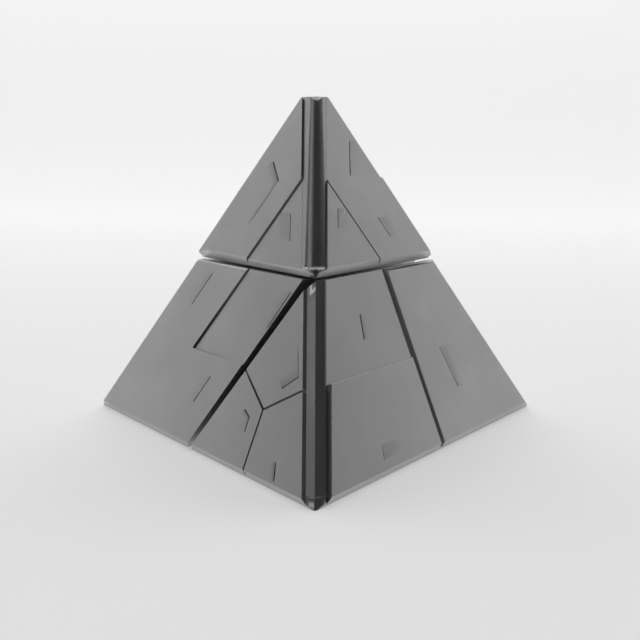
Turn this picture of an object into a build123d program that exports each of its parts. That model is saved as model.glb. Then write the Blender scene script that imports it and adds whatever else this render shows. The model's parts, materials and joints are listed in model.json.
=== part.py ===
from build123d import *
import math
import os

# A three-sided pyramid twisty puzzle. It stands on its triangular base, +Z up, and the origin is
# the point of the base under the apex. The near corner lies on -Y. All sizes are millimetres.
# Two cuts divide it: a level cut under the top pyramid, and a slanted cut, parallel to the left
# edge and to the right base edge, between the left block and the front wedge. The top turns about
# the vertical axis, and the front wedge turns about the axis square to the slanted cut.

# ---- driving dimensions ----
BASE_EDGE = 100.0        # base side of the pyramid that the outer panels follow
FULL_HEIGHT = 73.0       # height of that pyramid's sharp apex
TIP_HEIGHT = 67.2        # flat top, where the tip is cut off
LEVEL_CUT = 34.35        # height of the level cut
SLANT_CUT = 0.49         # slanted cut, as a fraction of the way from the near corner to the left
LEVEL_GAP = 0.35         # clear gap at the level cut
FRONT_GAP = 0.1          # from the middle of the slanted cut to the front wedge
LEFT_GAP = 1.6           # from there to the left block, level with the pivot
GAP_TAPER = 1.17         # the left block's cut face leans away by this many degrees
SEAM_GAP = 0.2           # fitting gap between housings of one body
PANEL = 0.9              # panel thickness
RECESS = 0.35            # how far a recessed panel lies below a proud one
WALL = 2.2               # moulded housing wall
COVER = 1.8              # thickness of the base covers
BASE_BEVEL = 1.5         # bevel round the foot of the pyramid
TOP_BEVEL = 1.7          # bevel round the foot of the top pyramid
SHOULDER_BEVEL = 0.35    # bevel round the shoulder of the lower blocks
FOOT_TILT = 30           # the bevels at a foot face this many degrees below level
SHOULDER_TILT = 45       # and those at the shoulder this many above it
MARK_DEPTH = 0.08        # deep side of a raked mark's ramp
SLOT_WIDTH = 0.42        # slot along the deep side of each raked mark
SLOT_DEPTH = 0.65
GROOVE = 0.5             # groove between neighbouring panels
LOW_PANEL_STRIP = 5.5    # the right face's low near panel stops further from the near edge
EDGE_STRIP = 4.3         # bare strip along each pyramid edge, measured level on the face
TOP_STRIP = 2.7          # the narrow strips of the top pyramid
TOP_LEFT_STRIP = 5.6     # the left face's strip beside the near edge of the top pyramid
TOP_RIGHT_STRIP = 4.3    # the right face's strip there
STRIP_DEPTH = 0.35       # how far the bare strips lie below the panels
NEAR_SET_BACK = 2.7      # how far the blunt edge ridges lie behind the sharp edges
LEFT_SET_BACK = 2.45
RIGHT_SET_BACK = 2.0
RIDGE_SPREAD = 22        # the two facets of a ridge, degrees each way

SHANK_R = 1.5            # pivot screw shank
RUNNING_CLEARANCE = 0.06
HEAD_R = 3.2
HEAD_T = 1.6
SPRING_R = 2.7           # mean radius of the pivot springs
SPRING_WIRE_R = 0.3
SPRING_TURNS = 4
WASHER_T = 0.5
SOCKET_R = 4.4           # threaded sockets of the core
MAGNET_R = 2.0
MAGNET_T = 1.2
COVER_SCREW_R = 1.0      # self-tapping cover screws
COVER_SCREW_HEAD_R = 1.9
COVER_SCREW_LENGTH = 6.0
BOSS_R = 2.6
FIT = 0.05               # clearance round seated magnets and pegs

# ---- derived geometry ----
INRADIUS = BASE_EDGE * math.sqrt(3) / 6
SLANT = math.hypot(FULL_HEIGHT, INRADIUS)
LEAN = math.atan2(INRADIUS, FULL_HEIGHT)
HALF = BASE_EDGE / 2
NEAR = Vector(0, -2 * INRADIUS, 0)
LEFT = Vector(-HALF, INRADIUS, 0)
RIGHT = Vector(HALF, INRADIUS, 0)
APEX = Vector(0, 0, FULL_HEIGHT)
LEFT_FACE, RIGHT_FACE, BACK_FACE = -150, -30, 90      # the faces' compass directions, degrees
FACES = (LEFT_FACE, RIGHT_FACE, BACK_FACE)
FORWARD = (RIGHT - NEAR).cross(APEX - LEFT).normalized()
CUT_CENTRE = ((NEAR + RIGHT) * (1 - SLANT_CUT) + (APEX + LEFT) * SLANT_CUT) / 2
ALONG_SEAM = (RIGHT - NEAR).normalized()
BIG = 4 * BASE_EDGE


# ---- planes and cutting ----
def face_plane(compass, depth=0.0):
    """A lateral face of the pyramid, moved inwards by depth. X runs along the base, Y up the slope."""
    turn = math.radians(compass)
    level = Vector(math.cos(turn), math.sin(turn), 0)
    normal = level * math.cos(LEAN) + Vector(0, 0, math.sin(LEAN))
    origin = level * INRADIUS - normal * depth
    return Plane(origin=origin, x_dir=Vector(-level.Y, level.X, 0), z_dir=normal)


def side_plane(compass, start, end):
    """A plane square to a face through two of its points, with the kept side on the line's left."""
    face = face_plane(compass)
    a = face.from_local_coords(Vector(*start, 0))
    b = face.from_local_coords(Vector(*end, 0))
    return Plane(origin=a, x_dir=face.z_dir, z_dir=(b - a).cross(face.z_dir))


def edge_plane(compass, side, distance, inward=False):
    """A plane square to a face and parallel to its left (-1) or right (1) edge, at a level distance."""
    low = (side * (HALF - distance), 0)
    high = (-side * distance, SLANT)
    if (side > 0) != inward:
        return side_plane(compass, low, high)
    return side_plane(compass, high, low)


def level_plane(height, up=True):
    """A horizontal plane. The kept side is below it, or above it if up is False."""
    return Plane(origin=(0, 0, height), x_dir=(1, 0, 0), z_dir=(0, 0, 1 if up else -1))


def slant_plane(offset=0.0, front=True):
    """The slanted cut. The kept side is the front wedge's, or the left block's if front is False."""
    out = FORWARD * (-1 if front else 1)
    return Plane(origin=CUT_CENTRE - out * offset, x_dir=ALONG_SEAM, z_dir=out)


def left_cut_plane(behind=0.0):
    """The left block's cut face, which leans away from the slanted cut; behind moves it inwards."""
    lean = math.radians(GAP_TAPER)
    out = FORWARD * math.cos(lean) + (APEX - LEFT).normalized() * math.sin(lean)
    origin = CUT_CENTRE - FORWARD * LEFT_GAP - out * behind
    return Plane(origin=origin, x_dir=ALONG_SEAM, z_dir=out)


def seam_plane(offset=0.0, near=True):
    """The upright seam of the front wedge. The kept side is the near housing's or the right one's."""
    out = ALONG_SEAM * (1 if near else -1)
    return Plane(origin=out * -offset, x_dir=(0, 0, 1), z_dir=out)


def keep_inside(body, *walls):
    """What is left of a body behind every one of the walls."""
    for wall in walls:
        body = split(body, bisect_by=wall, keep=Keep.BOTTOM)
    return body


def bevel_planes(height, size, rising):
    """Three planes that bevel the lateral faces at a height, down to it or (rising) up to it."""
    planes = []
    sign = 1 if rising else -1
    tilt = math.tan(math.radians(SHOULDER_TILT if rising else FOOT_TILT))
    for compass in FACES:
        face = face_plane(compass)
        anchor = face.from_local_coords(Vector(0, (height - sign * size) / math.cos(LEAN), 0))
        slope = Vector(face.z_dir.X, face.z_dir.Y, 0).normalized() + Vector(0, 0, sign * tilt)
        planes.append(Plane(origin=anchor, x_dir=face.x_dir, z_dir=slope))
    return planes


BLANK = Pos(0, 0, FULL_HEIGHT / 2) * Box(BIG, BIG, FULL_HEIGHT + 2)
TOP_WALLS = [
    level_plane(LEVEL_CUT + LEVEL_GAP / 2, up=False),
    level_plane(TIP_HEIGHT),
    *bevel_planes(LEVEL_CUT + LEVEL_GAP / 2, TOP_BEVEL, rising=False),
]
LOWER_WALLS = [
    level_plane(0, up=False),
    level_plane(LEVEL_CUT - LEVEL_GAP / 2),
    *bevel_planes(0, BASE_BEVEL, rising=False),
    *bevel_planes(LEVEL_CUT - LEVEL_GAP / 2, SHOULDER_BEVEL, rising=True),
]
LEFT_WALLS = [*LOWER_WALLS, left_cut_plane()]
FRONT_WALLS = [*LOWER_WALLS, slant_plane(FRONT_GAP)]
NEAR_WALLS = [*FRONT_WALLS, seam_plane(SEAM_GAP / 2)]
RIGHT_WALLS = [*FRONT_WALLS, seam_plane(SEAM_GAP / 2, near=False)]


# ---- housings ----
def edge_facets():
    """Planes of the blunt ridges along the three pyramid edges, two facets to a ridge."""
    facets = []
    set_backs = ((NEAR, NEAR_SET_BACK), (LEFT, LEFT_SET_BACK), (RIGHT, RIGHT_SET_BACK))
    for corner, set_back in set_backs:
        out = Vector(corner.X, corner.Y, 0).normalized()
        edge = (APEX - corner).normalized()
        sideways = Vector(0, 0, 1).cross(out)
        square = sideways.cross(edge).normalized()
        for sign in (1, -1):
            turn = math.radians(RIDGE_SPREAD) * sign
            normal = square * math.cos(turn) + sideways * math.sin(turn)
            origin = corner - square * set_back
            facets.append(Plane(origin=origin, x_dir=edge, z_dir=normal))
    return facets


def panel_bed(compass, *borders):
    """What a face's panels need cut away: everything outside their underside, between borders."""
    floor = face_plane(compass, PANEL)
    lid = Plane(origin=floor.origin, x_dir=floor.x_dir, z_dir=floor.z_dir * -1)
    return keep_inside(BLANK, lid, *borders)


def lower_core():
    """The pyramid with blunt ridges for edge strips and a bed for the panels in every face."""
    faces = [face_plane(compass, STRIP_DEPTH) for compass in FACES]
    core = keep_inside(BLANK, *faces, *edge_facets())
    for compass in FACES:
        core = core - panel_bed(compass, *strip_borders(compass, EDGE_STRIP - FIT, EDGE_STRIP - FIT))
    return core


def top_core():
    """The pyramid with rounded edges, down from its cut tip, and a bed in every face."""
    sections = []
    rounding = ((LEVEL_CUT, 2.4, 0.55, 1.2), (TIP_HEIGHT, 1.4, 0.5, 1.8))
    for height, near_radius, left_radius, right_radius in rounding:
        inner = (FULL_HEIGHT - height) * math.tan(LEAN) - STRIP_DEPTH / math.cos(LEAN)
        corners = [
            (0, -2 * inner),
            (math.sqrt(3) * inner, inner),
            (-math.sqrt(3) * inner, inner),
        ]
        triangle = Polygon(*corners, align=None)
        section = fillet(triangle.vertices().sort_by(Axis.Y)[0], near_radius)
        section = fillet(section.vertices().sort_by(Axis.X)[0], left_radius)
        section = fillet(section.vertices().sort_by(Axis.X)[-1], right_radius)
        sections.append(Pos(0, 0, height) * section)
    core = loft(sections, ruled=True)
    wide = TOP_LEFT_STRIP - FIT
    narrow = TOP_STRIP - FIT
    core = core - panel_bed(LEFT_FACE, *strip_borders(LEFT_FACE, narrow, wide))
    core = core - panel_bed(BACK_FACE, *strip_borders(BACK_FACE, wide, narrow))
    right_borders = strip_borders(RIGHT_FACE, TOP_RIGHT_STRIP - FIT, narrow)
    return core - panel_bed(RIGHT_FACE, *right_borders)


def hollow(*wall_planes):
    """The cavity of a housing: the space a wall's thickness behind every wall plane."""
    inner_faces = [face_plane(compass, PANEL + WALL) for compass in FACES]
    inner_walls = [wall.offset(-WALL) for wall in wall_planes]
    return keep_inside(BLANK, *inner_faces, *inner_walls)


def along(axis_point, axis, start, radius, length):
    """A cylinder along an axis, from start to start + length measured from the axis point."""
    place = Plane(origin=axis_point + axis * start, z_dir=axis)
    return place * Cylinder(radius, length, align=(Align.CENTER, Align.CENTER, Align.MIN))


# ---- panels ----
def panel(compass, body_walls, borders, depth=0.0):
    """One face panel: a slab of the face between its borders, lying in the bed of its housing."""
    slab = keep_inside(panel_bed(compass), face_plane(compass, depth))
    return keep_inside(slab, *body_walls, *borders)


def ramp(compass, start, end, foot, deep=MARK_DEPTH, depth=0.0):
    """A raked mark: a slot along the line from start to end, then a ramp that runs out at the foot."""
    face = face_plane(compass, depth)
    a = face.from_local_coords(Vector(*start, 0.05))
    b = face.from_local_coords(Vector(*end, 0.05))
    run = face.from_local_coords(Vector(*foot, 0)) - face.from_local_coords(Vector(0, 0, 0))
    slot = run.normalized() * SLOT_WIDTH
    down = face.z_dir * -1
    corners = [a, a + run, a + slot + down * (deep + 0.05), a + slot + down * SLOT_DEPTH]
    section = Face(Wire.make_polygon([*corners, a + down * SLOT_DEPTH]))
    return Solid.extrude(section, b - a)


def strip_borders(compass, left=EDGE_STRIP, right=EDGE_STRIP):
    """The two borders of a face's panels beside the bare edge strips."""
    return [edge_plane(compass, -1, left), edge_plane(compass, 1, right)]


def parallel_line(compass, side, distance, gap, inner):
    """One side of a groove that runs parallel to an edge; inner keeps the part away from that edge."""
    offset = gap / 2 if inner else -gap / 2
    return edge_plane(compass, side, distance + offset, inward=not inner)


def rung(compass, height, gap, below):
    """One side of a level groove across a face, at a height measured up the slope."""
    if below:
        return side_plane(compass, (1, height - gap / 2), (0, height - gap / 2))
    return side_plane(compass, (0, height + gap / 2), (1, height + gap / 2))


# ---- turning gear ----
UP = Vector(0, 0, 1)
AXIS_FOOT = Vector(0, 0, 0)
TOP_FLOOR = LEVEL_CUT + LEVEL_GAP / 2            # underside of the top pyramid
HUB_R = 6.0
HUB_LENGTH = 5.0
SPRING_LENGTH = 6.0
END_PLAY = 0.05
SPRING_START = HUB_LENGTH + END_PLAY           # measured from the turning part's cut face
WASHER_START = SPRING_START + SPRING_LENGTH
HEAD_START = WASHER_START + WASHER_T
SHANK_REACH = 8.6                              # how far a pivot screw goes in behind the cut face
CARRIER = COVER + 0.4                          # carrier plate behind the slanted cut
SCREW_RING = 14.0                              # base screws of the top pyramid, from its axis
MAGNET_RING = 9.0
CORNERS = (-90, 30, 150)
LEFT_SCREWS = ((-38.5, 22.3), (-24.5, -2.0), (-10.5, 22.3))
NEAR_SCREWS = ((0.0, -44.7), (-13.0, -22.0), (16.7, -16.1))
EAR_SPOTS = ((90, 9.0), (150, 14.5), (-150, 9.0))
EAR_T = 2.0
SUNK = 0.1                                     # how far screw heads lie below the covers
EAR_TOP = LEVEL_CUT - LEVEL_GAP / 2 - WALL - 3.0
CARRIER_SCREWS = ((-15.0, -13.0), (-15.0, 13.0), (15.0, -13.0), (15.0, 13.0))
SLANT_MAGNETS = ((-15.0, 0.0), (15.0, 0.0))


def ring_spots(radius, compasses):
    """Points round the vertical axis."""
    return [(radius * math.cos(math.radians(c)), radius * math.sin(math.radians(c)))
            for c in compasses]


def on_slant(u, v):
    """A point of the slanted cut: u along the front base edge, v up the slope."""
    return CUT_CENTRE + ALONG_SEAM * u + (APEX - LEFT).normalized() * v


def pivot_screw(axis_point, axis):
    """Shoulder screw: a plain shank and a round head, the thread left plain."""
    shank = along(axis_point, axis, -SHANK_REACH, SHANK_R, SHANK_REACH + HEAD_START)
    head = along(axis_point, axis, HEAD_START, HEAD_R, HEAD_T)
    slot = Plane(origin=axis_point + axis * (HEAD_START + HEAD_T), z_dir=axis) * Box(4.4, 0.8, 1.4)
    cross = Plane(origin=axis_point + axis * (HEAD_START + HEAD_T), z_dir=axis) * Box(0.8, 4.4, 1.4)
    return shank + head - slot - cross


def pivot_washer(axis_point, axis):
    """Flat washer between the spring and the screw head."""
    disc = along(axis_point, axis, WASHER_START, HEAD_R, WASHER_T)
    return disc - along(axis_point, axis, WASHER_START - 1, SHANK_R + 0.1, WASHER_T + 2)


def pivot_spring(axis_point, axis):
    """Compression spring round the shank."""
    height = SPRING_LENGTH - 2 * SPRING_WIRE_R - 2 * END_PLAY
    coil = Helix(pitch=height / SPRING_TURNS, height=height, radius=SPRING_R)
    wire = Plane(origin=coil @ 0, z_dir=coil % 0) * Circle(SPRING_WIRE_R)
    spring = sweep(wire, path=coil)
    start = SPRING_START + SPRING_WIRE_R + END_PLAY
    return Plane(origin=axis_point + axis * start, z_dir=axis) * spring


def tapping_screw(point, axis, length=COVER_SCREW_LENGTH):
    """Small self-tapping screw: its head's flat top lies at the point, the shank runs along axis."""
    head = along(point, axis, 0, COVER_SCREW_HEAD_R, 0.9)
    shank = along(point, axis, 0.9, COVER_SCREW_R, length - 0.9)
    drive = Plane(origin=point, z_dir=axis) * Box(2.2, 0.5, 1.0)
    return head + shank - drive


def screw_seat(point, axis):
    """What a tapping screw needs cut out of a cover: a counterbore and a clearance hole."""
    bore = along(point, axis, -1, COVER_SCREW_HEAD_R + 0.15, 2 + FIT)
    return bore + along(point, axis, -1, COVER_SCREW_R + 0.2, 6)


def screw_boss(point, axis, start, length):
    """Boss with its pilot hole, as a pair of solids to add and to take away."""
    post = along(point, axis, start, BOSS_R, length)
    pilot = along(point, axis, start - 1, COVER_SCREW_R + 0.02, length + 0.4)
    return post, pilot


def magnet(point, axis):
    """Disc magnet standing on the point."""
    return along(point, axis, 0, MAGNET_R, MAGNET_T)


def magnet_pocket(point, axis):
    """Pocket for a disc magnet, open away from the cut face."""
    return along(point, axis, -FIT, MAGNET_R + FIT, 6)


LOWER_CORE = lower_core()
TOP_CORE = top_core()


# ---- top pyramid ----
def make_top_shell():
    """Hollow top housing, its three edges rounded and its tip cut flat."""
    outer = keep_inside(TOP_CORE, *TOP_WALLS)
    outer = keep_inside(outer, level_plane(TOP_FLOOR + COVER, up=False))
    shell = outer - hollow(level_plane(TIP_HEIGHT))
    for x, y in ring_spots(SCREW_RING, CORNERS):
        post, pilot = screw_boss(Vector(x, y, TOP_FLOOR + COVER), UP, 0, 9)
        shell = shell + (post & outer) - pilot
    return shell


def make_top_base():
    """Floor of the top pyramid, with the hub that turns on the pivot screw."""
    floor = keep_inside(TOP_CORE, *TOP_WALLS)
    floor = keep_inside(floor, level_plane(TOP_FLOOR + COVER))
    floor = floor + along(AXIS_FOOT, UP, TOP_FLOOR, HUB_R, HUB_LENGTH)
    for x, y in ring_spots(MAGNET_RING, CORNERS):
        floor = floor - magnet_pocket(Vector(x, y, TOP_FLOOR + COVER - MAGNET_T), UP)
    for x, y in ring_spots(SCREW_RING, CORNERS):
        floor = floor - screw_seat(Vector(x, y, TOP_FLOOR + SUNK), UP)
    bore = along(AXIS_FOOT, UP, TOP_FLOOR - 1, SHANK_R + RUNNING_CLEARANCE, HUB_LENGTH + 2)
    return floor - bore


# ---- left block, which carries the core ----
def make_left_shell():
    """Housing of the left block: the two outer faces, the deck under the top and the slanted wall."""
    outer = keep_inside(LOWER_CORE, *LEFT_WALLS)
    outer = keep_inside(outer, level_plane(COVER, up=False))
    deck = level_plane(LEVEL_CUT - LEVEL_GAP / 2)
    shell = outer - hollow(deck, left_cut_plane())
    for x, y in LEFT_SCREWS:
        post, pilot = screw_boss(Vector(x, y, COVER), UP, 0, 9)
        shell = shell + (post & outer) - pilot
    for compass, radius in EAR_SPOTS:
        x, y = ring_spots(radius, [compass])[0]
        post, pilot = screw_boss(Vector(x, y, EAR_TOP), UP, 0, 3.5)
        shell = shell + (post & outer) - pilot
    for x, y in ring_spots(MAGNET_RING, CORNERS):
        height = LEVEL_CUT - LEVEL_GAP / 2 - WALL + MAGNET_T
        shell = shell - magnet_pocket(Vector(x, y, height), UP * -1)
    for u, v in SLANT_MAGNETS:
        seat = on_slant(u, v) - FORWARD * (LEFT_GAP + WALL - MAGNET_T)
        shell = shell - magnet_pocket(seat, FORWARD * -1)
    shell = shell - along(AXIS_FOOT, UP, EAR_TOP, SHANK_R + 0.3, 8)
    shell = shell - along(CUT_CENTRE, FORWARD, -6, SHANK_R + 0.3, 8)
    return shell.solids().sort_by(SortBy.VOLUME)[-1]


def make_left_base_cover():
    """Floor of the left block."""
    cover = keep_inside(LOWER_CORE, *LEFT_WALLS)
    cover = keep_inside(cover, level_plane(COVER))
    for x, y in LEFT_SCREWS:
        cover = cover - screw_seat(Vector(x, y, SUNK), UP)
    return cover


def make_pivot_core():
    """The core: a knot with a socket for each pivot screw, and three ears that hold it."""
    deck = LEVEL_CUT - LEVEL_GAP / 2 - WALL
    knot = Pos(-4.5, 2.6, 25.5) * Sphere(6.2)
    upright = along(AXIS_FOOT, UP, deck - 8.0, SOCKET_R, 7.9)
    leaning = along(CUT_CENTRE, FORWARD, -12.5, SOCKET_R, 12.5 - LEFT_GAP - WALL - 0.1)
    core = knot + upright + leaning
    core = keep_inside(core, left_cut_plane(WALL + 0.1))
    for compass, radius in EAR_SPOTS:
        x, y = ring_spots(radius, [compass])[0]
        arm = Pos(0, 0, EAR_TOP - EAR_T / 2) * Rot(0, 0, compass) * Pos(radius / 2, 0, 0)
        core = core + arm * Box(radius, 4.4, EAR_T)
        core = core + along(Vector(x, y, EAR_TOP - EAR_T), UP, 0, 3.0, EAR_T)
        core = core - along(Vector(x, y, EAR_TOP - EAR_T - 1), UP, 0, COVER_SCREW_R + 0.1, 4)
        core = core - along(Vector(x, y, EAR_TOP - EAR_T - 4), UP, 0, COVER_SCREW_HEAD_R + 0.2, 4)
    core = core - along(AXIS_FOOT, UP, TOP_FLOOR - SHANK_REACH - 1, SHANK_R + 0.02, 20)
    return core - along(CUT_CENTRE, FORWARD, FRONT_GAP - SHANK_REACH - 1, SHANK_R + 0.02, 20)


# ---- front wedge: a near and a right housing on one carrier ----
def make_near_shell():
    """Housing of the near block: two outer faces, the shoulder and the wall on the upright seam."""
    outer = keep_inside(LOWER_CORE, *NEAR_WALLS)
    behind = slant_plane(FRONT_GAP + CARRIER + FIT)
    outer = keep_inside(outer, level_plane(COVER, up=False), behind)
    shoulder = level_plane(LEVEL_CUT - LEVEL_GAP / 2)
    shell = outer - hollow(shoulder, seam_plane(SEAM_GAP / 2))
    for x, y in NEAR_SCREWS:
        post, pilot = screw_boss(Vector(x, y, COVER), UP, 0, 6)
        shell = shell + (post & outer) - pilot
    for u, v in CARRIER_SCREWS[:2]:
        start = FRONT_GAP + CARRIER + FIT
        post, pilot = screw_boss(on_slant(u, v), FORWARD, start, 5)
        middle = on_slant(u / 2, v) + FORWARD * (start + 2.5)
        web = Plane(origin=middle, x_dir=ALONG_SEAM, z_dir=FORWARD) * Box(-u - 1, 1.6, 5)
        shell = shell + (post & outer) + web - pilot
    return shell - along(CUT_CENTRE, FORWARD, 0, HUB_R + 1.0, HEAD_START + HEAD_T + 2)


def make_front_base_cover():
    """Floor of the front wedge, one plate under both of its housings."""
    cover = keep_inside(LOWER_CORE, *FRONT_WALLS)
    cover = keep_inside(cover, level_plane(COVER), slant_plane(FRONT_GAP + CARRIER + FIT))
    for point in near_screw_points:
        cover = cover - screw_seat(point, UP)
        cover = cover - mirrored(screw_seat(point, UP))
    return cover


def make_front_carrier():
    """Plate along the slanted cut that joins the two housings and turns on the pivot screw."""
    plate = keep_inside(LOWER_CORE, *FRONT_WALLS)
    plate = keep_inside(plate, slant_plane(-FRONT_GAP - CARRIER, front=False))
    plate = plate + along(CUT_CENTRE, FORWARD, FRONT_GAP, HUB_R, HUB_LENGTH)
    for u, v in CARRIER_SCREWS:
        seat = on_slant(u, v) + FORWARD * (FRONT_GAP + SUNK)
        plate = plate - screw_seat(seat, FORWARD)
    for u, v in SLANT_MAGNETS:
        seat = on_slant(u, v) + FORWARD * (FRONT_GAP + CARRIER - MAGNET_T)
        plate = plate - magnet_pocket(seat, FORWARD)
    bore = along(CUT_CENTRE, FORWARD, 0, SHANK_R + RUNNING_CLEARANCE, HUB_LENGTH + 2)
    return plate - bore


def mirrored(body):
    """The mirror image across the upright seam, which swaps the near and right corners."""
    return mirror(body, about=Plane(origin=(0, 0, 0), z_dir=ALONG_SEAM))


# ---- panel layout, in face coordinates: x along the base, y up the slope ----
LONG_LINE_TOP = 23.6      # long groove of the left face, level distance from the outer edge
LONG_LINE_LOWER = 26.9
RIGHT_LINE = 25.4         # long groove of the right face's top
TIP_RUNG = 55.4           # top step line of the right face
LOW_RUNG = 19.1           # lower step line of both faces
FORK = (23.5, 12.8)       # where the three grooves of the near block meet
FORK_ARMS = ((11.0, 19.2), (38.0, 20.2), (23.7, -2.0))
SEAM_SIDES = (-0.35, 1.15)    # the groove over the upright seam, left and right
STEP_GAP = 0.02


def left_top_far():
    """Outer panel of the top's left face."""
    borders = strip_borders(LEFT_FACE, TOP_STRIP, TOP_LEFT_STRIP)
    groove = parallel_line(LEFT_FACE, -1, LONG_LINE_TOP, GROOVE, inner=False)
    body = panel(LEFT_FACE, TOP_WALLS, [*borders, groove])
    body = body - ramp(LEFT_FACE, (-4.2, 58.9), (0.6, 55.0), (-3.2, -2.0))
    return body - ramp(LEFT_FACE, (0.6, 55.0), (-4.5, 46.7), (-3.2, -2.0))


def left_top_near():
    """Inner, recessed panel of the top's left face."""
    borders = strip_borders(LEFT_FACE, TOP_STRIP, TOP_LEFT_STRIP)
    groove = parallel_line(LEFT_FACE, -1, LONG_LINE_TOP, GROOVE, inner=True)
    body = panel(LEFT_FACE, TOP_WALLS, [*borders, groove], RECESS)
    return body - ramp(LEFT_FACE, (9.0, 48.7), (12.2, 43.5), (-6.6, 0.0), depth=RECESS)


def left_block_upper():
    """Recessed panel of the left block, between the long groove and the slanted cut."""
    borders = [
        parallel_line(LEFT_FACE, -1, LONG_LINE_LOWER, GROOVE, inner=True),
        rung(LEFT_FACE, LOW_RUNG, STEP_GAP, below=False),
    ]
    body = panel(LEFT_FACE, LEFT_WALLS, borders, RECESS)
    return body - ramp(LEFT_FACE, (18.9, 34.2), (14.8, 26.8), (-6.0, 0.0), 0.03, RECESS)


def left_block_corner():
    """Corner panel of the left block, which wraps round the recessed one."""
    body = panel(LEFT_FACE, LEFT_WALLS, strip_borders(LEFT_FACE))
    notch = [
        parallel_line(LEFT_FACE, -1, LONG_LINE_LOWER, -GROOVE, inner=True),
        rung(LEFT_FACE, LOW_RUNG, -STEP_GAP, below=False),
    ]
    body = body - keep_inside(BLANK, face_plane(LEFT_FACE, -1), *notch)
    body = body - ramp(LEFT_FACE, (-13.4, 34.5), (-17.9, 27.4), (-5.0, 0.0), 0.03)
    return body - ramp(LEFT_FACE, (0.5, 14.9), (-2.9, 9.2), (-5.0, 0.0), 0.03)


def fork_side(arm, left_of):
    """One side of a groove of the fork, left or right of the way out from the fork."""
    way = Vector(arm[0] - FORK[0], arm[1] - FORK[1]).normalized()
    shift = Vector(-way.Y, way.X) * (GROOVE / 2 * (1 if left_of else -1))
    start = (FORK[0] + shift.X, FORK[1] + shift.Y)
    end = (arm[0] + shift.X, arm[1] + shift.Y)
    if left_of:
        return side_plane(LEFT_FACE, start, end)
    return side_plane(LEFT_FACE, end, start)


def near_left_upper():
    """Upper of the near block's three panels on the left face."""
    borders = [
        edge_plane(LEFT_FACE, 1, EDGE_STRIP),
        fork_side(FORK_ARMS[1], left_of=True),
        fork_side(FORK_ARMS[0], left_of=False),
    ]
    body = panel(LEFT_FACE, NEAR_WALLS, borders)
    body = body - ramp(LEFT_FACE, (29.0, 23.8), (31.5, 20.1), (-2.6, 2.6))
    return body - ramp(LEFT_FACE, (31.5, 20.1), (27.2, 17.1), (-2.6, 2.6))


def near_left_outer():
    """Lower panel beside the slanted cut."""
    borders = [fork_side(FORK_ARMS[0], left_of=True), fork_side(FORK_ARMS[2], left_of=False)]
    body = panel(LEFT_FACE, NEAR_WALLS, borders)
    body = body - ramp(LEFT_FACE, (17.4, 11.7), (19.9, 10.7), (-2.0, -1.0), 0.05)
    return body - ramp(LEFT_FACE, (19.9, 10.7), (20.0, 8.0), (-2.0, -1.0), 0.05)


def near_left_inner():
    """Lower panel beside the near edge."""
    borders = [
        edge_plane(LEFT_FACE, 1, EDGE_STRIP),
        fork_side(FORK_ARMS[2], left_of=True),
        fork_side(FORK_ARMS[1], left_of=False),
    ]
    body = panel(LEFT_FACE, NEAR_WALLS, borders)
    return body - ramp(LEFT_FACE, (33.5, 5.3), (34.9, 2.2), (-3.0, 0.0), 0.05)


def right_top_tip():
    """Recessed tip panel of the top's right face."""
    borders = strip_borders(RIGHT_FACE, TOP_RIGHT_STRIP, TOP_STRIP)
    step = rung(RIGHT_FACE, TIP_RUNG, STEP_GAP, below=False)
    body = panel(RIGHT_FACE, TOP_WALLS, [*borders, step], RECESS)
    return body - ramp(RIGHT_FACE, (3.8, 63.3), (-0.6, 56.2), (6.0, 0.0), 0.05, RECESS)


def right_top_near():
    """Inner panel of the top's right face."""
    borders = strip_borders(RIGHT_FACE, TOP_RIGHT_STRIP, TOP_STRIP)
    groove = parallel_line(RIGHT_FACE, 1, RIGHT_LINE, GROOVE, inner=True)
    step = rung(RIGHT_FACE, TIP_RUNG, STEP_GAP, below=True)
    body = panel(RIGHT_FACE, TOP_WALLS, [*borders, groove, step])
    return body - ramp(RIGHT_FACE, (-10.3, 49.7), (-12.6, 46.0), (5.0, 0.0))


def right_top_far():
    """Outer panel of the top's right face."""
    borders = strip_borders(RIGHT_FACE, TOP_RIGHT_STRIP, TOP_STRIP)
    groove = parallel_line(RIGHT_FACE, 1, RIGHT_LINE, GROOVE, inner=False)
    step = rung(RIGHT_FACE, TIP_RUNG, STEP_GAP, below=True)
    body = panel(RIGHT_FACE, TOP_WALLS, [*borders, groove, step])
    return body - ramp(RIGHT_FACE, (4.2, 47.2), (6.9, 43.1), (5.9, 0.0))


def near_right_upper():
    """Recessed upper panel of the near block's right face."""
    borders = [
        edge_plane(RIGHT_FACE, -1, EDGE_STRIP),
        side_plane(RIGHT_FACE, (SEAM_SIDES[0], 0), (SEAM_SIDES[0], 40)),
        rung(RIGHT_FACE, LOW_RUNG, STEP_GAP, below=False),
    ]
    body = panel(RIGHT_FACE, NEAR_WALLS, borders, RECESS)
    return body - ramp(RIGHT_FACE, (-14.5, 29.5), (-16.0, 24.9), (4.0, 0.0), 0.03, RECESS)


def near_right_lower():
    """Proud lower panel of the near block's right face."""
    borders = [
        edge_plane(RIGHT_FACE, -1, LOW_PANEL_STRIP),
        side_plane(RIGHT_FACE, (SEAM_SIDES[0], 0), (SEAM_SIDES[0], 40)),
        rung(RIGHT_FACE, LOW_RUNG, STEP_GAP, below=True),
    ]
    body = panel(RIGHT_FACE, NEAR_WALLS, borders)
    return body - ramp(RIGHT_FACE, (-22.5, 6.1), (-23.4, 3.4), (8.4, 0.0), 0.15)


def right_block_front():
    """The right block's panel on the right face."""
    borders = [
        edge_plane(RIGHT_FACE, 1, EDGE_STRIP),
        side_plane(RIGHT_FACE, (SEAM_SIDES[1], 40), (SEAM_SIDES[1], 0)),
    ]
    body = panel(RIGHT_FACE, RIGHT_WALLS, borders)
    return body - ramp(RIGHT_FACE, (12.1, 19.3), (14.3, 10.6), (4.6, 0.0))


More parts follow.
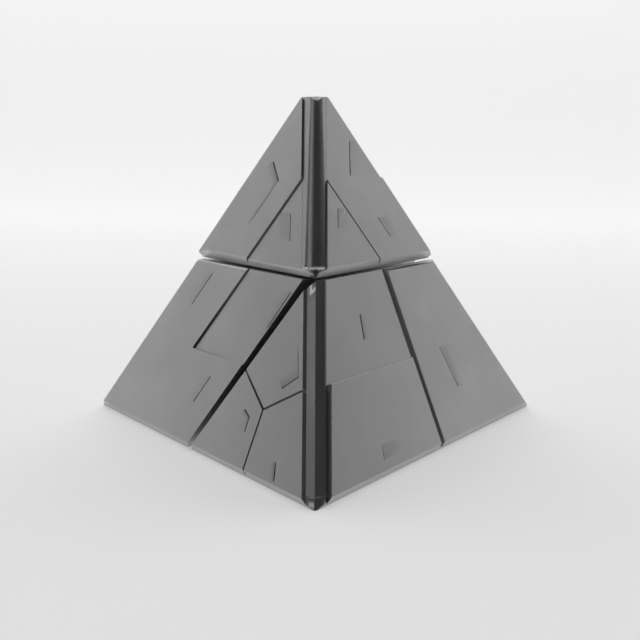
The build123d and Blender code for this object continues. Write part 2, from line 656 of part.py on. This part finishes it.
# ---- all the pieces ----
os.makedirs("parts", exist_ok=True)

near_shell = make_near_shell()
left_screw_points = [Vector(x, y, SUNK) for x, y in LEFT_SCREWS]
near_screw_points = [Vector(x, y, SUNK) for x, y in NEAR_SCREWS]
top_screw_points = [Vector(x, y, TOP_FLOOR + SUNK) for x, y in ring_spots(SCREW_RING, CORNERS)]
carrier_screw_points = [
    on_slant(u, v) + FORWARD * (FRONT_GAP + SUNK) for u, v in CARRIER_SCREWS]
near_screws = [tapping_screw(p, UP) for p in near_screw_points]
top_turn = Vector(0, 0, TOP_FLOOR)
front_turn = CUT_CENTRE + FORWARD * FRONT_GAP

ear_screws = []
for compass, radius in EAR_SPOTS:
    x, y = ring_spots(radius, [compass])[0]
    ear_screws.append(tapping_screw(Vector(x, y, EAR_TOP - EAR_T - 0.9), UP, 5.0))

top_magnets = []
deck_magnets = []
for x, y in ring_spots(MAGNET_RING, CORNERS):
    top_magnets.append(magnet(Vector(x, y, TOP_FLOOR + COVER - MAGNET_T), UP))
    deck_magnets.append(magnet(Vector(x, y, LEVEL_CUT - LEVEL_GAP / 2 - WALL), UP))

carrier_magnets = []
slant_magnets = []
for u, v in SLANT_MAGNETS:
    forward_seat = on_slant(u, v) + FORWARD * (FRONT_GAP + CARRIER - MAGNET_T)
    carrier_magnets.append(magnet(forward_seat, FORWARD))
    rear_seat = on_slant(u, v) - FORWARD * (LEFT_GAP + WALL)
    slant_magnets.append(magnet(rear_seat, FORWARD))

left_panels = {
    "top_left_far_panel": left_top_far(),
    "top_left_near_panel": left_top_near(),
    "left_upper_panel": left_block_upper(),
    "left_corner_panel": left_block_corner(),
    "near_upper_panel": near_left_upper(),
    "near_outer_panel": near_left_outer(),
    "near_inner_panel": near_left_inner(),
}
BACK_NAMES = {
    "top_left_far_panel": "top_back_far_panel",
    "top_left_near_panel": "top_back_near_panel",
    "left_upper_panel": "left_back_upper_panel",
    "left_corner_panel": "left_back_corner_panel",
    "near_upper_panel": "right_back_upper_panel",
    "near_outer_panel": "right_back_outer_panel",
    "near_inner_panel": "right_back_inner_panel",
}

pieces = {
    "top_shell": make_top_shell(),
    "top_base": make_top_base(),
    "top_pivot_screw": pivot_screw(top_turn, UP),
    "top_pivot_washer": pivot_washer(top_turn, UP),
    "top_pivot_spring": pivot_spring(top_turn, UP),
    "top_base_screws": Compound(children=[tapping_screw(p, UP) for p in top_screw_points]),
    "top_magnets": Compound(children=top_magnets),
    "left_shell": make_left_shell(),
    "left_base_cover": make_left_base_cover(),
    "left_cover_screws": Compound(children=[tapping_screw(p, UP) for p in left_screw_points]),
    "deck_magnets": Compound(children=deck_magnets),
    "slant_magnets": Compound(children=slant_magnets),
    "pivot_core": make_pivot_core(),
    "pivot_core_screws": Compound(children=ear_screws),
    "near_shell": near_shell,
    "right_shell": mirrored(near_shell),
    "front_base_cover": make_front_base_cover(),
    "front_cover_screws": Compound(
        children=[*near_screws, *[mirrored(screw) for screw in near_screws]]),
    "front_carrier": make_front_carrier(),
    "front_carrier_screws": Compound(
        children=[tapping_screw(p, FORWARD) for p in carrier_screw_points]),
    "carrier_magnets": Compound(children=carrier_magnets),
    "front_pivot_screw": pivot_screw(front_turn, FORWARD),
    "front_pivot_washer": pivot_washer(front_turn, FORWARD),
    "front_pivot_spring": pivot_spring(front_turn, FORWARD),
    "top_right_tip_panel": right_top_tip(),
    "top_right_near_panel": right_top_near(),
    "top_right_far_panel": right_top_far(),
    "near_right_upper_panel": near_right_upper(),
    "near_right_lower_panel": near_right_lower(),
    "right_front_panel": right_block_front(),
}
for name, body in left_panels.items():
    pieces[name] = body
    pieces[BACK_NAMES[name]] = mirrored(body)

for name, body in pieces.items():
    export_step(body, f"parts/{name}.step")
    print(name, round(body.volume, 1))
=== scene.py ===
# %% [markdown]
# A pyramid twisty puzzle: three moulded bodies that turn against each other, each one a housing
# with thin panels glued into beds in its faces. The shapes come from an exact model, loaded here
# as a frame. It could also be modelled from nothing in Blender, but a puzzle has to fit together,
# so the exact model sets every size, and this script adds what an eye sees: broken edges,
# the plastics and metals, the floor, the light and the camera.

# %% Load the exact model
import json
import math
import bmesh
import bpy
from mathutils import Matrix, Vector


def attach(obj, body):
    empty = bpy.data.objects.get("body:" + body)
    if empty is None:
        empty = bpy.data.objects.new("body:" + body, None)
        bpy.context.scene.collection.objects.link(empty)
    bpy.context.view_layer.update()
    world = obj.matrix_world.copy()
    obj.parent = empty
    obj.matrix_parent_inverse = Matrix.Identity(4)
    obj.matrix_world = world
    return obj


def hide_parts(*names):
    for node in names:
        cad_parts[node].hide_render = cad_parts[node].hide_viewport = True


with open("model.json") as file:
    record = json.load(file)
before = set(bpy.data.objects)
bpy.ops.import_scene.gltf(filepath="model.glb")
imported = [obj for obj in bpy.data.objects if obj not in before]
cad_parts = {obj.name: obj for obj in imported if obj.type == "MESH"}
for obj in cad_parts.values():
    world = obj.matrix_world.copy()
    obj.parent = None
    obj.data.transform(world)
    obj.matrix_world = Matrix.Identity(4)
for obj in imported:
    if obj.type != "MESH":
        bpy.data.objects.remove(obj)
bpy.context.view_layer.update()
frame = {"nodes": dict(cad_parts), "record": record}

record = frame["record"]
bodies = record["behaviour"]["bodies"]
print("bodies:", {name: len(nodes) for name, nodes in bodies.items()})

# %% [markdown]
# Colours are written as the hex numbers a paint program shows. Blender's shaders work with linear
# light, so one function turns each channel from the sRGB curve to linear.

# %% Colours
def linear(hex_colour):
    """An sRGB hex colour such as "3c3d40" as linear red, green, blue and alpha."""
    channels = []
    for start in (0, 2, 4):
        value = int(hex_colour[start:start + 2], 16) / 255
        low = value / 12.92
        high = ((value + 0.055) / 1.055) ** 2.4
        channels.append(low if value <= 0.04045 else high)
    return (*channels, 1.0)


MM = 0.001                       # every pattern and width below is given in millimetres
print("mid grey is", [round(c, 3) for c in linear("808080")])

# %% [markdown]
# A material is a little net of nodes. One helper adds a node, sets its inputs and options and
# links other nodes into it, so each finish below reads as a list of layers.

# %% Adding a node
def node(tree, kind, settings=None, values=None, links=None):
    """Add a node; settings are its options, values its unlinked inputs, links its linked inputs."""
    made = tree.nodes.new(kind)
    for name, value in (settings or {}).items():
        setattr(made, name, value)
    for name, value in (values or {}).items():
        made.inputs[name].default_value = value
    for name, source in (links or {}).items():
        tree.links.new(source, made.inputs[name])
    return made


def new_material(name):
    """An empty node material with its output, and the tree to build in."""
    material = bpy.data.materials.new(name)
    material.use_nodes = True
    tree = material.node_tree
    tree.nodes.clear()
    return material, tree


print("helpers ready")

# %% [markdown]
# The housings and panels are ABS, moulded in steel that was spark eroded to a fine satin grain,
# and sprayed with a graphite lacquer that holds fine aluminium flake. The flake mirrors the room
# in soft tones, which plain plastic does not, so faces turned to a pale wall look pale and
# faces turned to the dark ceiling look nearly black. The real grain is about 0.1 mm across, too
# fine to show, so it is drawn 0.35 mm across. Handling leaves broad, faint patches that are a
# little smoother, and the tone drifts slightly from the way the lacquer was sprayed.

# %% Graphite lacquer and moulded plastic
def moulded_abs(name, colour, worn_colour, metallic, roughness, grain_mm, grain_depth, wear):
    """Satin moulded plastic; metallic is the share of flake, wear how far handling smooths it."""
    material, tree = new_material(name)
    place = node(tree, "ShaderNodeTexCoord").outputs["Object"]
    grain = node(tree, "ShaderNodeTexNoise",
                 values={"Scale": 1 / (grain_mm * MM), "Detail": 2.0, "Roughness": 0.6},
                 links={"Vector": place})
    flow = node(tree, "ShaderNodeTexNoise",
                values={"Scale": 1 / (22 * MM), "Detail": 3.0, "Roughness": 0.55},
                links={"Vector": place})
    handled = node(tree, "ShaderNodeTexNoise",
                   values={"Scale": 1 / (9 * MM), "Detail": 4.0, "Roughness": 0.65,
                           "Distortion": 0.4},
                   links={"Vector": place})
    patches = node(tree, "ShaderNodeMapRange",
                   values={"From Min": 0.45, "From Max": 0.75, "To Min": 0.0, "To Max": wear},
                   links={"Value": handled.outputs["Fac"]})
    drift = node(tree, "ShaderNodeMapRange",
                 values={"From Min": 0.3, "From Max": 0.7, "To Min": 0.97, "To Max": 1.03},
                 links={"Value": flow.outputs["Fac"]})
    speckle = node(tree, "ShaderNodeMapRange",
                   values={"From Min": 0.3, "From Max": 0.7, "To Min": 0.96, "To Max": 1.04},
                   links={"Value": grain.outputs["Fac"]})
    shade = node(tree, "ShaderNodeMath", {"operation": "MULTIPLY"},
                 links={0: drift.outputs["Result"], 1: speckle.outputs["Result"]})
    worn = node(tree, "ShaderNodeMix", {"data_type": "RGBA"},
                values={6: linear(colour), 7: linear(worn_colour)},
                links={"Factor": patches.outputs["Result"]})
    tinted = node(tree, "ShaderNodeVectorMath", {"operation": "SCALE"},
                  links={0: worn.outputs[2], "Scale": shade.outputs["Value"]})
    gloss = node(tree, "ShaderNodeMapRange",
                 values={"From Min": 0.35, "From Max": 0.8,
                         "To Min": roughness + 0.02, "To Max": roughness - 0.04 - 0.1 * wear},
                 links={"Value": handled.outputs["Fac"]})
    bumps = node(tree, "ShaderNodeBump",
                 values={"Strength": 1.0, "Distance": grain_depth * MM},
                 links={"Height": grain.outputs["Fac"]})
    shader = node(tree, "ShaderNodeBsdfPrincipled",
                  values={"IOR": 1.53, "Metallic": metallic},
                  links={"Base Color": tinted.outputs["Vector"],
                         "Roughness": gloss.outputs["Result"],
                         "Normal": bumps.outputs["Normal"]})
    node(tree, "ShaderNodeOutputMaterial", links={"Surface": shader.outputs["BSDF"]})
    return material


FLAKE = 0.85                     # share of the lacquer that mirrors like metal
GRAIN_MM = 0.35

# Sprayed lacquer on the housings: a soft, slightly grainy mirror.
housing_abs = moulded_abs("housing_graphite_lacquer", "b2b2b2", "bcbcbc", FLAKE, 0.32,
                          GRAIN_MM, 0.006, wear=0.2)
# The same lacquer on the panels, a shade paler and a touch grainier.
panel_abs = moulded_abs("panel_graphite_lacquer", "b6b6b6", "c0c0c0", FLAKE, 0.32,
                        GRAIN_MM, 0.007, wear=0.2)
# Lacquer rubbed by fingers along the edges: smoother, so it draws a thin bright line.
edge_abs = moulded_abs("rubbed_edge_lacquer", "b8b8b8", "c2c2c2", FLAKE, 0.30,
                       0.5, 0.002, wear=0.3)
# Bare moulded acetal inside: black and waxy, with no flake, so the gaps stay dark.
acetal = moulded_abs("inner_moulded_acetal", "181818", "202020", 0.0, 0.38,
                     0.5, 0.004, wear=0.1)
print("plastics:", [m.name for m in (housing_abs, panel_abs, edge_abs, acetal)])

# %% [markdown]
# The screws and washers are zinc-plated steel, turned and then plated, which leaves fine rings and
# a cool, slightly cloudy shine. The springs are drawn wire, streaked along their length, and the
# magnets are nickel-plated and close to a mirror. Each pattern is a noise stretched one way.

# %% Metals
def plated_metal(name, colour, roughness, cloud_mm, scratch_mm):
    """A plated metal with cloudy patches and fine scratches."""
    material, tree = new_material(name)
    place = node(tree, "ShaderNodeTexCoord").outputs["Object"]
    clouds = node(tree, "ShaderNodeTexNoise",
                  values={"Scale": 1 / (cloud_mm * MM), "Detail": 3.0}, links={"Vector": place})
    stretched = node(tree, "ShaderNodeMapping",
                     values={"Scale": (1.0, 1.0, 12.0)}, links={"Vector": place})
    scratches = node(tree, "ShaderNodeTexNoise",
                     values={"Scale": 1 / (scratch_mm * MM), "Detail": 2.0},
                     links={"Vector": stretched.outputs["Vector"]})
    gloss = node(tree, "ShaderNodeMapRange",
                 values={"From Min": 0.3, "From Max": 0.7,
                         "To Min": roughness - 0.08, "To Max": roughness + 0.1},
                 links={"Value": clouds.outputs["Fac"]})
    lines = node(tree, "ShaderNodeBump",
                 values={"Strength": 0.6, "Distance": 0.004 * MM},
                 links={"Height": scratches.outputs["Fac"]})
    shader = node(tree, "ShaderNodeBsdfPrincipled",
                  values={"Base Color": linear(colour), "Metallic": 1.0},
                  links={"Roughness": gloss.outputs["Result"], "Normal": lines.outputs["Normal"]})
    node(tree, "ShaderNodeOutputMaterial", links={"Surface": shader.outputs["BSDF"]})
    return material


zinc_steel = plated_metal("zinc_plated_steel", "c3c6c8", 0.32, 1.5, 0.3)
spring_wire = plated_metal("drawn_spring_wire", "b9b8b4", 0.28, 2.0, 0.2)
nickel = plated_metal("nickel_plated_magnet", "c9c5bc", 0.16, 2.5, 0.4)
print("metals:", [m.name for m in (zinc_steel, spring_wire, nickel)])

# %% [markdown]
# No moulded edge is truly sharp: the cutter that made the mould leaves a small radius, and fingers
# rub it smoother. That thin bright line along an edge is what makes plastic look real. A Bevel
# modifier could do it, but the imported meshes are loose triangles, so each piece is copied,
# its points are merged, its flat triangles are dissolved into whole faces and its
# edges are then bevelled. The new bevel faces get the rubbed finish.

# %% Broken edges
SAME_POINT_MM = 0.002            # points closer than this are one point
FLAT_DEG = 0.6                   # triangles that turn less than this are one face
SHORTEST_MM = 0.5                # shorter edges keep their corner
CREASE_DEG = 50                  # edges that turn more than this stay crisp in the shading


def with_broken_edges(name, width_mm, body_finish, edge_finish, sharp_deg=24):
    """Replace a node with a copy whose convex edges are bevelled and whose bevels are rubbed."""
    source = frame["nodes"][name]
    bm = bmesh.new()
    bm.from_mesh(source.data)
    bmesh.ops.remove_doubles(bm, verts=bm.verts, dist=SAME_POINT_MM * MM)
    bmesh.ops.dissolve_limit(bm, angle_limit=math.radians(FLAT_DEG), verts=bm.verts, edges=bm.edges,
                             use_dissolve_boundaries=False, delimit={"NORMAL"})
    for face in bm.faces:
        face.material_index = 0
    sharp = [e for e in bm.edges
             if len(e.link_faces) == 2 and e.is_convex and e.calc_length() > SHORTEST_MM * MM
             and e.calc_face_angle() > math.radians(sharp_deg)]
    made = bmesh.ops.bevel(bm, geom=sharp, offset=width_mm * MM, affect="EDGES", segments=2,
                           profile=0.5, material=-1, offset_type="OFFSET", clamp_overlap=True)
    for face in made["faces"]:
        face.material_index = 1
    for face in bm.faces:
        face.smooth = True
    mesh = bpy.data.meshes.new("fine_" + name)
    bm.to_mesh(mesh)
    bm.free()
    mesh.set_sharp_from_angle(angle=math.radians(CREASE_DEG))
    piece = bpy.data.objects.new("fine_" + name, mesh)
    bpy.context.scene.collection.objects.link(piece)
    mesh.materials.append(body_finish)
    mesh.materials.append(edge_finish)
    weighted = piece.modifiers.new("flat faces stay flat", "WEIGHTED_NORMAL")
    weighted.keep_sharp = True
    body = next(b for b, nodes in bodies.items() if name in nodes)
    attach(piece, body)
    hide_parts(name)
    return piece


slots = {part["node"]: part["material_slot"] for part in record["subparts"]}
panel_names = sorted(name for name, slot in slots.items() if slot == "panels")
housing_names = sorted(name for name, slot in slots.items() if slot == "housings")
cover_names = ("top_base", "left_base_cover", "front_base_cover", "front_carrier")
for name in panel_names:
    with_broken_edges(name, 0.07, panel_abs, edge_abs)
for name in housing_names:
    with_broken_edges(name, 0.15, housing_abs, edge_abs)
for name in cover_names:
    with_broken_edges(name, 0.18, housing_abs, edge_abs)
print(len(panel_names), "panels and", len(housing_names), "housings have broken edges")

# %% [markdown]
# What is left is seen only through the gaps or when the puzzle is taken apart: the core, the
# screws, springs, washers and magnets. Their exact shapes are right already, so the nodes stay
# and only get their finishes.

# %% Inner pieces
finishes = {"inner_plastic": acetal, "steel": zinc_steel, "spring_steel": spring_wire,
            "magnets": nickel}
for name, slot in slots.items():
    if slot in finishes:
        mesh = frame["nodes"][name].data
        mesh.materials.clear()
        mesh.materials.append(finishes[slot])
print("inner finishes:", sorted(finishes))

# %% [markdown]
# The floor is a sheet of pale translucent acrylic that rises behind the puzzle in one smooth
# curve, so no horizon shows from the front. Its glow is painted light: an emission, brighter the
# higher it rises, stands in for light from below and behind, where there is no lamp. It is what
# the sloping faces mirror, and its width sets how much of them looks pale. A profile of a few
# points is extruded sideways and its bend is rounded by a bevel.

# %% Floor sweep
# painted glow of the sweep: emission strength on the floor and up the wall, in place of a lamp
FLOOR_GLOW = 0.39
WALL_GLOW = 0.52
SWEEP_HALF_WIDTH = 2.5           # metres, like the two below
WALL_Y = 1.6
BEND = 0.9


def glowing_acrylic_painted_light():
    """Matt acrylic with a very faint fibre and a painted glow, brighter the higher it rises."""
    material, tree = new_material("opal_acrylic_painted_glow")
    place = node(tree, "ShaderNodeTexCoord").outputs["Object"]
    fibre = node(tree, "ShaderNodeTexNoise",
                 values={"Scale": 1 / (1.2 * MM), "Detail": 3.0}, links={"Vector": place})
    tone = node(tree, "ShaderNodeMix", {"data_type": "RGBA"},
                values={6: linear("ebebeb"), 7: linear("efefef")},
                links={"Factor": fibre.outputs["Fac"]})
    height = node(tree, "ShaderNodeSeparateXYZ", links={"Vector": place})
    # painted light: emission stands in for light from below and behind, stronger higher up
    glow = node(tree, "ShaderNodeMapRange", {"interpolation_type": "SMOOTHSTEP"},
                {"From Min": 0.05, "From Max": 0.4, "To Min": FLOOR_GLOW, "To Max": WALL_GLOW},
                {"Value": height.outputs["Z"]})
    shader = node(tree, "ShaderNodeBsdfPrincipled",
                  values={"Roughness": 0.85, "Emission Color": linear("ffffff")},
                  links={"Base Color": tone.outputs[2],
                         "Emission Strength": glow.outputs["Result"]})
    node(tree, "ShaderNodeOutputMaterial", links={"Surface": shader.outputs["BSDF"]})
    return material


bm = bmesh.new()
profile = [(-3.0, 0.0), (WALL_Y, 0.0), (WALL_Y, 2.6)]
points = [bm.verts.new((-SWEEP_HALF_WIDTH, y, z)) for y, z in profile]
edges = [bm.edges.new(pair) for pair in zip(points, points[1:])]
swept = bmesh.ops.extrude_edge_only(bm, edges=edges)
far = [item for item in swept["geom"] if isinstance(item, bmesh.types.BMVert)]
bmesh.ops.translate(bm, verts=far, vec=(2 * SWEEP_HALF_WIDTH, 0, 0))
fold = [e for e in bm.edges if len(e.link_faces) == 2]
bmesh.ops.bevel(bm, geom=fold, offset=BEND, affect="EDGES", segments=24, profile=0.5,
                material=-1)
for face in bm.faces:
    face.smooth = True
mesh = bpy.data.meshes.new("sweep")
bm.to_mesh(mesh)
bm.free()
sweep = bpy.data.objects.new("sweep", mesh)
bpy.context.scene.collection.objects.link(sweep)
mesh.materials.append(glowing_acrylic_painted_light())
print("sweep has", len(mesh.polygons), "faces")

# %% [markdown]
# The rest of the room is dim, and its ceiling is dark, like a studio with its ceiling lamps off.
# The near edge leans back and mirrors that ceiling, so it looks nearly black between two pale
# faces. A ramp on the height of each direction does this. Seen directly, the room beyond the
# sweep looks pale, so every side of the puzzle can be viewed against a light background.

# %% Dim room
WALL_LIGHT = 0.22
CEILING_LIGHT = 0.01
SEEN_WALL = 0.84
world = bpy.data.worlds.new("studio_room")
world.use_nodes = True
room = world.node_tree
room.nodes.clear()
way = node(room, "ShaderNodeTexCoord").outputs["Generated"]
split = node(room, "ShaderNodeSeparateXYZ", links={"Vector": way})
ceiling = node(room, "ShaderNodeMapRange",
               {"interpolation_type": "SMOOTHSTEP"},
               {"From Min": 0.05, "From Max": 0.6,
                "To Min": WALL_LIGHT, "To Max": CEILING_LIGHT},
               {"Value": split.outputs["Z"]})
dim = node(room, "ShaderNodeBackground", values={"Color": linear("ffffff")},
           links={"Strength": ceiling.outputs["Result"]})
pale = node(room, "ShaderNodeBackground",
            values={"Color": linear("ffffff"), "Strength": SEEN_WALL})
ray = node(room, "ShaderNodeLightPath")
both = node(room, "ShaderNodeMixShader",
            links={0: ray.outputs["Is Camera Ray"], 1: dim.outputs["Background"],
                   2: pale.outputs["Background"]})
node(room, "ShaderNodeOutputWorld", links={"Surface": both.outputs["Shader"]})
bpy.context.scene.world = world
bpy.context.scene.view_settings.view_transform = "Standard"
print("walls", WALL_LIGHT, "ceiling", CEILING_LIGHT)

# %% [markdown]
# Two softboxes add shape: a wide one high above the back of the puzzle lights the floor, and a
# weak one high on the left gives the near edge its paler left flank. Both stay away from the
# direction that the near edge mirrors.

# %% Softboxes
def softbox(name, place, target, width, height, watts):
    """A rectangular area light that looks at its target."""
    light = bpy.data.lights.new(name, "AREA")
    light.shape = "RECTANGLE"
    light.size = width
    light.size_y = height
    light.energy = watts
    lamp = bpy.data.objects.new(name, light)
    bpy.context.scene.collection.objects.link(lamp)
    lamp.location = place
    aim = Vector(target) - Vector(place)
    lamp.rotation_euler = aim.to_track_quat("-Z", "Y").to_euler()
    return lamp


softbox("high_back_softbox", (0, 1.0, 1.4), (0, 0, 0), width=3.0, height=1.3, watts=13)
softbox("high_left_softbox", (-0.95, -0.2, 1.15), (0, 0, 0.03), width=0.8, height=0.6, watts=0.6)

# %% [markdown]
# The camera stands close to the height of the tip and looks a little down, straight at the near
# edge. A 71.5 mm lens on a 36 mm sensor gives a gentle perspective. The view was
# lined up with the corners of the base and the tip, down to a slight tilt of the horizon.

# %% Camera
def aim_camera(place, pitch_deg, yaw_deg, roll_deg, lens):
    """A camera at a place in metres: pitch is down, yaw turns to the left, roll tilts the frame."""
    pitch, yaw, roll = (math.radians(v) for v in (pitch_deg, yaw_deg, roll_deg))
    look = Vector((-math.sin(yaw) * math.cos(pitch), math.cos(yaw) * math.cos(pitch),
                   -math.sin(pitch)))
    right = look.cross(Vector((0, 0, 1))).normalized()
    up = right.cross(look)
    tilted_right = right * math.cos(roll) - up * math.sin(roll)
    tilted_up = right * math.sin(roll) + up * math.cos(roll)
    turn = Matrix((tilted_right, tilted_up, -look)).transposed()
    data = bpy.data.cameras.new("camera")
    data.lens = lens
    data.sensor_width = 36
    data.clip_start = 0.01
    camera = bpy.data.objects.new("camera", data)
    bpy.context.scene.collection.objects.link(camera)
    camera.matrix_world = Matrix.Translation(Vector(place)) @ turn.to_4x4()
    return camera


camera = aim_camera((-0.0003, -0.2518, 0.0591), pitch_deg=8.11, yaw_deg=-0.28, roll_deg=-0.31,
                    lens=71.49)
bpy.context.scene.camera = camera
print("camera looks along", [round(v, 3) for v in camera.matrix_world.col[2][:3]])
